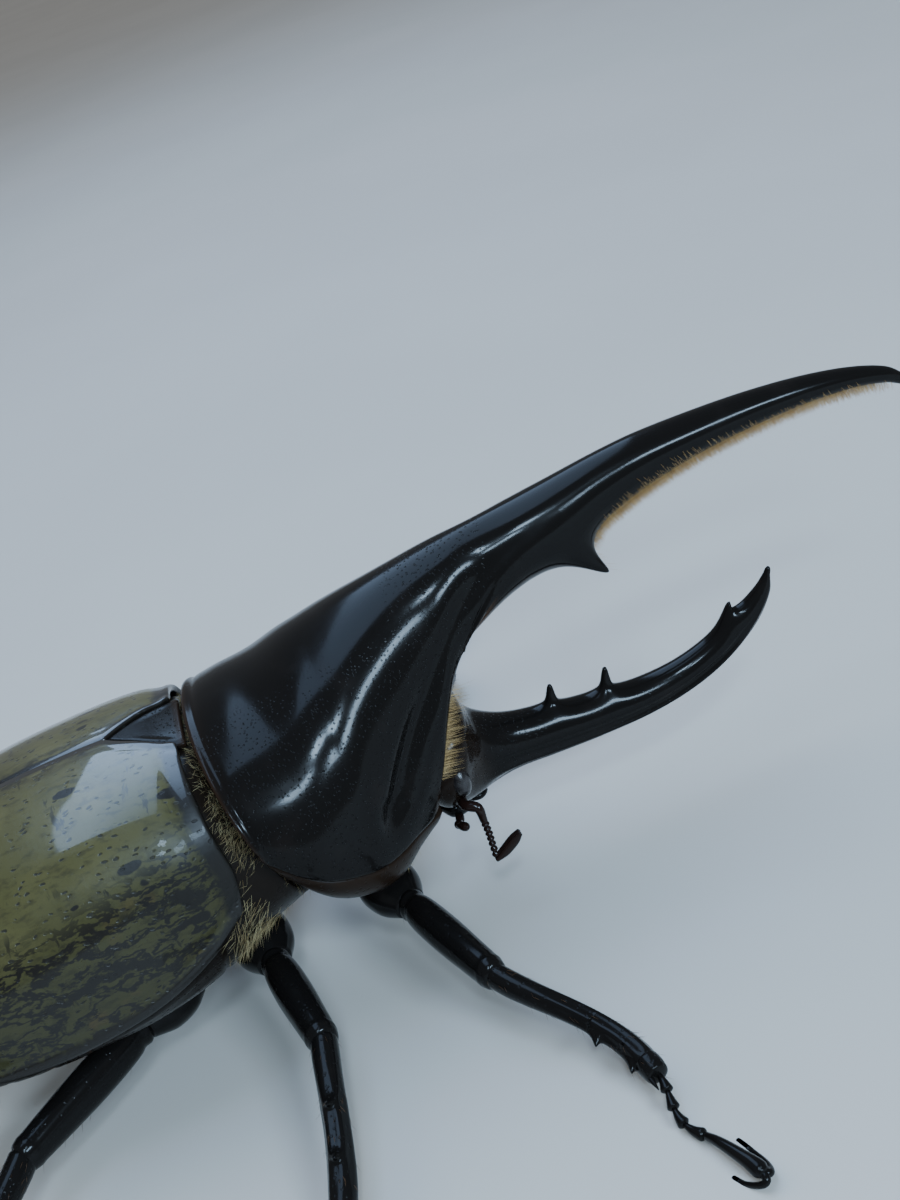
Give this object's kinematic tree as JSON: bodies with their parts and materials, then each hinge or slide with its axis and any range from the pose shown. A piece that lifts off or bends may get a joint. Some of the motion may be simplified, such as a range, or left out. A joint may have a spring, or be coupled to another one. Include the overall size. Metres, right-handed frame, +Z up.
{
  "type": "hercules beetle",
  "caption": "Life-size standing male hercules beetle with a long upper horn, a shorter toothed head horn, spotted olive wing cases and slender black legs.",
  "frame": {"origin": "centre of the box round the whole beetle, on the floor under its feet", "axes": "+Z up, -Y forward along the horns, +X to the beetle's left"},
  "size_m": [0.1172, 0.1416, 0.0463],
  "materials": {
    "shield": "polished deep black horn, finely pitted on the sides",
    "head_shell": "glossy black horn",
    "wing_case": "glossy olive yellow with dark brown spots and streaks",
    "scutellum": "satin black, pitted",
    "underside": "satin brown black with yellow brown hair",
    "leg": "glossy black horn",
    "feeler": "glossy red brown",
    "eye": "smooth dark brown"
  },
  "bodies": {
    "root": {"pronotum": "shield", "thoracic_horn": "shield", "head": "head_shell", "cephalic_horn": "head_shell", "mouthparts": "head_shell", "mandible_left": "head_shell", "mandible_right": "head_shell", "elytron_left": "wing_case", "elytron_right": "wing_case", "scutellum": "scutellum", "prosternum": "underside", "thorax": "underside", "abdomen": "underside", "pygidium": "underside", "fore_coxa_left": "leg", "fore_coxa_right": "leg", "fore_femur_left": "leg", "fore_femur_right": "leg", "fore_tibia_left": "leg", "fore_tibia_right": "leg", "fore_tarsus_left": "leg", "fore_tarsus_right": "leg", "middle_coxa_left": "leg", "middle_coxa_right": "leg", "middle_femur_left": "leg", "middle_femur_right": "leg", "middle_tibia_left": "leg", "middle_tibia_right": "leg", "middle_tarsus_left": "leg", "middle_tarsus_right": "leg", "hind_coxa_left": "leg", "hind_coxa_right": "leg", "hind_femur_left": "leg", "hind_femur_right": "leg", "hind_tibia_left": "leg", "hind_tibia_right": "leg", "hind_tarsus_left": "leg", "hind_tarsus_right": "leg", "antenna_left": "feeler", "antenna_right": "feeler", "palp_left": "feeler", "palp_right": "feeler", "eye_left": "eye", "eye_right": "eye"}
  },
  "joints": []
}
